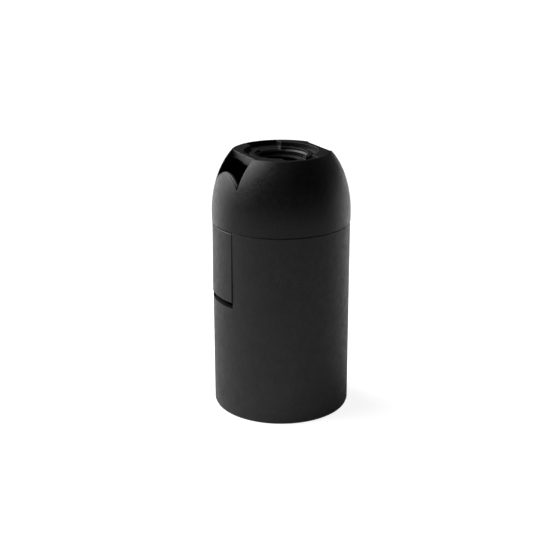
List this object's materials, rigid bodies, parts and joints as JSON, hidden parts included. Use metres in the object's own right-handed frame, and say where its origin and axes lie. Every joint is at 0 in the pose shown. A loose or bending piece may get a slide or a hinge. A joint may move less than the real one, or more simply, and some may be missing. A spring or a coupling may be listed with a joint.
{
  "type": "lamp holder",
  "caption": "Plain-skirt E14 lamp holder with a domed cap, rocking latch levers, spring contacts, screw terminals and an M10 cable entry.",
  "frame": {"origin": "middle of the mouth rim, the flat ring that the holder stands on", "axes": "+Z along the axis from the lamp's mouth to the cable entry; latch levers on +X and -X; live terminal on +Y, neutral on -Y"},
  "size_m": [0.0284, 0.0282, 0.0535],
  "materials": {
    "cap_plastic": "fine satin moulded thermoplastic, black",
    "skirt_plastic": "fine satin moulded thermoplastic, black",
    "lever_plastic": "fine satin moulded thermoplastic, black",
    "core_plastic": "moulded heat-resistant plastic, black",
    "spring_brass": "rolled spring brass",
    "rivet_brass": "drawn brass",
    "terminal_brass": "cut brass, lightly tarnished",
    "screw_steel": "zinc-plated steel"
  },
  "bodies": {
    "holder": {"dome_cap": "cap_plastic", "outer_skirt": "skirt_plastic", "contact_core": "core_plastic", "live_rivet": "rivet_brass", "neutral_rivet": "rivet_brass", "live_strip": "terminal_brass", "neutral_strip": "terminal_brass", "live_terminal": "terminal_brass", "neutral_terminal": "terminal_brass", "live_screw": "screw_steel", "neutral_screw": "screw_steel"},
    "left_lever": {"latch_lever_left": "lever_plastic"},
    "right_lever": {"latch_lever_right": "lever_plastic"},
    "centre_blade": {"centre_contact": "spring_brass"},
    "side_blade": {"side_contact": "spring_brass"}
  },
  "joints": [
    {"name": "left_lever_rock", "type": "hinge", "parent": "holder", "child": "left_lever", "pos_m": [-0.01, 0, 0.033], "axis": [0, 1, 0], "range_deg": [0, 3.5], "stiffness_Nm_per_rad": 0.5},
    {"name": "right_lever_rock", "type": "hinge", "parent": "holder", "child": "right_lever", "pos_m": [0.01, 0, 0.033], "axis": [0, -1, 0], "range_deg": [0, 3.5], "stiffness_Nm_per_rad": 0.5},
    {"name": "centre_contact_press", "type": "hinge", "parent": "holder", "child": "centre_blade", "pos_m": [0, 0.0024, 0.0258], "axis": [-1, 0, 0], "range_deg": [0, 18], "stiffness_Nm_per_rad": 0.05, "deforming": ["centre_contact"]},
    {"name": "side_contact_press", "type": "hinge", "parent": "holder", "child": "side_blade", "pos_m": [0, -0.007, 0.0258], "axis": [-1, 0, 0], "range_deg": [0, 3.5], "stiffness_Nm_per_rad": 0.1, "deforming": ["side_contact"]}
  ]
}
